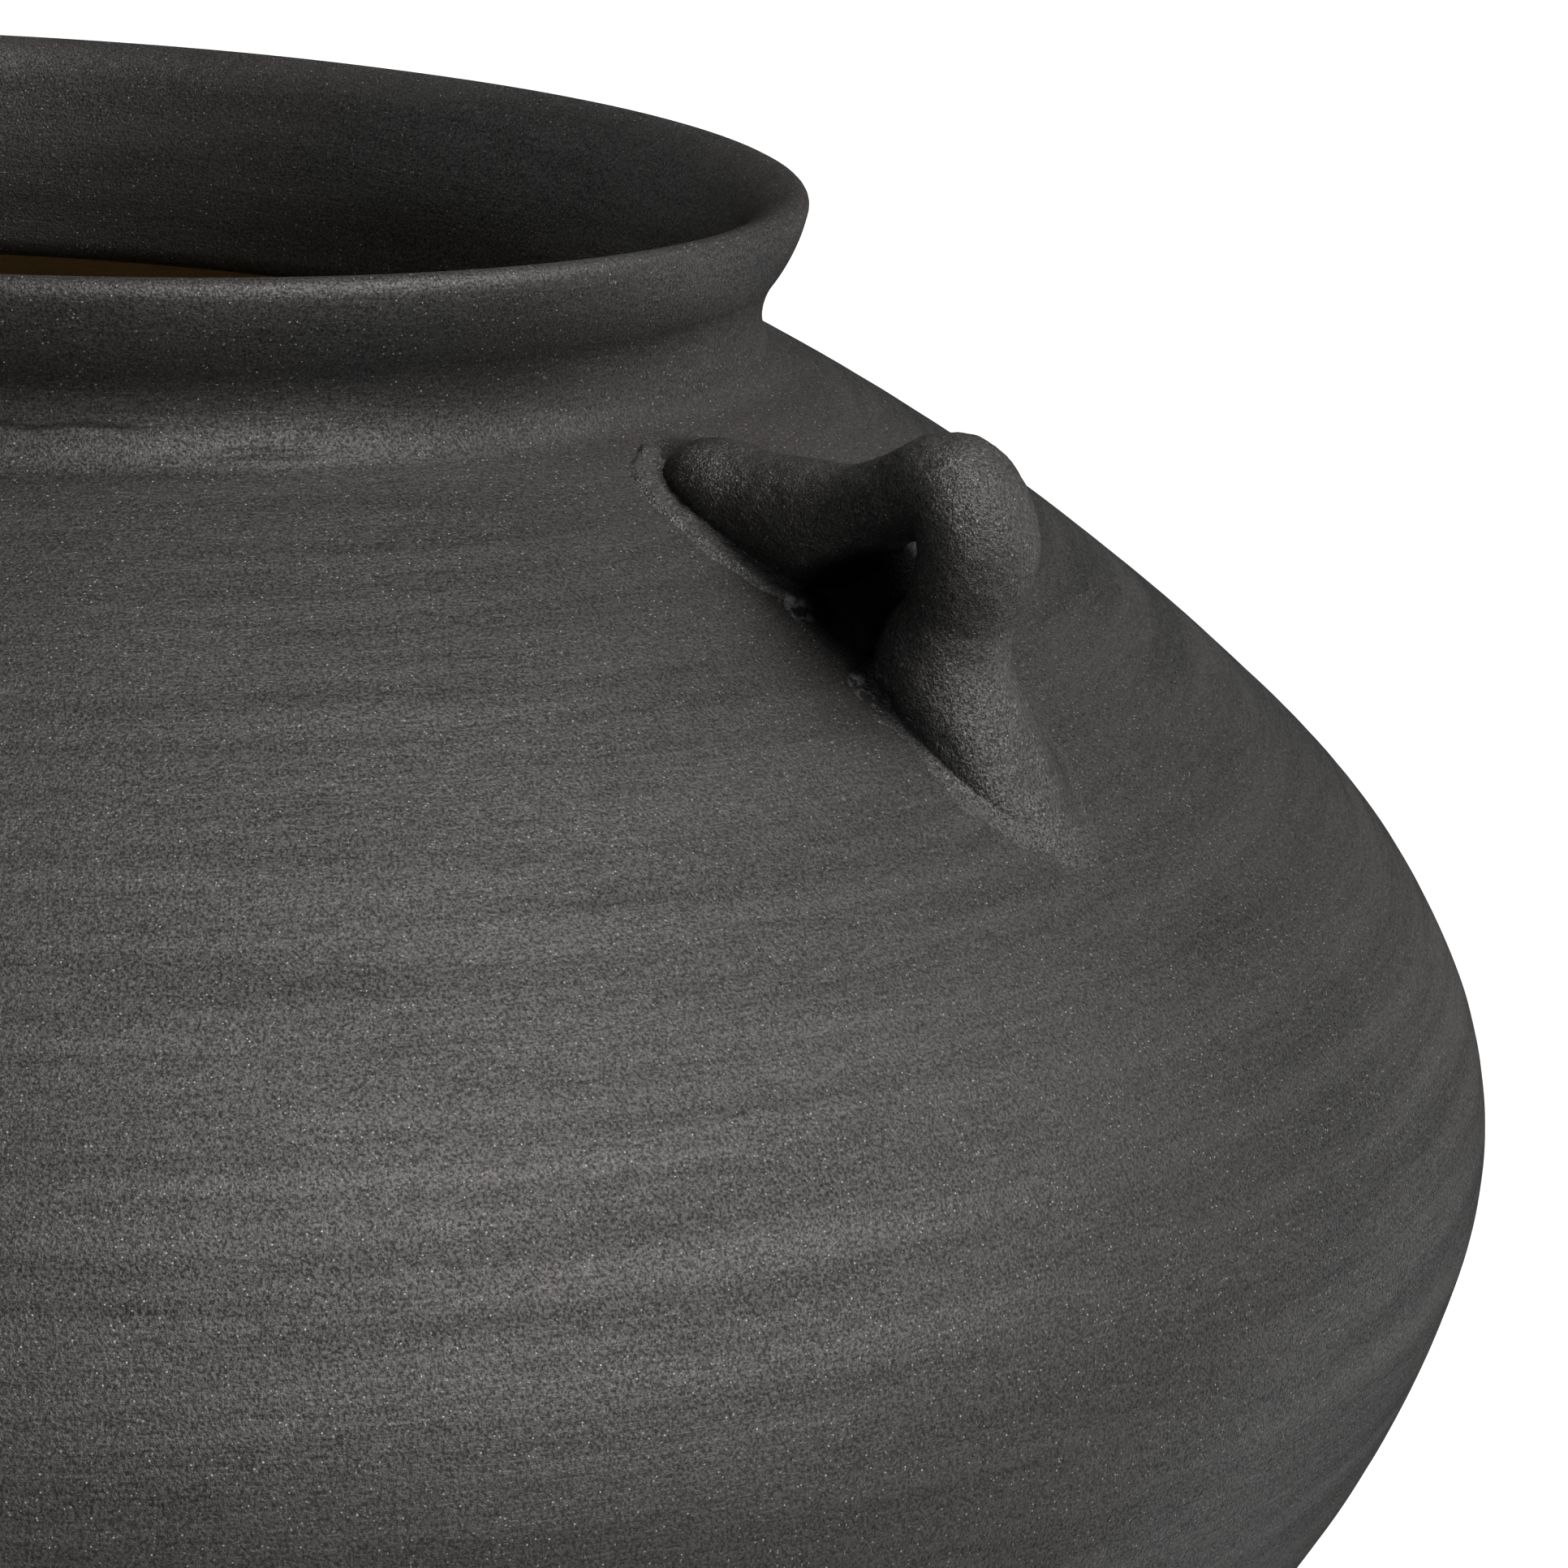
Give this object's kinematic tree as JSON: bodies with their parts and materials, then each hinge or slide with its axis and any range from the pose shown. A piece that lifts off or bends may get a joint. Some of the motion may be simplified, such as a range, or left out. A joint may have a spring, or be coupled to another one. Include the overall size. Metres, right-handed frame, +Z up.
{
  "type": "clay pot",
  "caption": "Wide-bellied black clay pot with a narrow neck, a flared rim and small loop handles luted to the shoulder.",
  "frame": {"origin": "centre of the flat resting face", "axes": "+Z up along the pot's turning axis; the four handles lie at +X (right), +Y (back), -X (left) and -Y (front)"},
  "size_m": [0.4748, 0.4748, 0.3222],
  "materials": {
    "black_clay": "unglazed, matt, sandy, smoke-blackened",
    "luting_slip": "unglazed, rough, slightly greyer"
  },
  "bodies": {
    "root": {"base_slab": "black_clay", "lower_wall": "black_clay", "belly_wall": "black_clay", "shoulder_wall": "black_clay", "neck_collar": "black_clay", "rim_coil": "black_clay", "handle_right": "black_clay", "handle_back": "black_clay", "handle_left": "black_clay", "handle_front": "black_clay", "upper_luting_right": "luting_slip", "upper_luting_back": "luting_slip", "upper_luting_left": "luting_slip", "upper_luting_front": "luting_slip", "lower_luting_right": "luting_slip", "lower_luting_back": "luting_slip", "lower_luting_left": "luting_slip", "lower_luting_front": "luting_slip"}
  },
  "joints": []
}
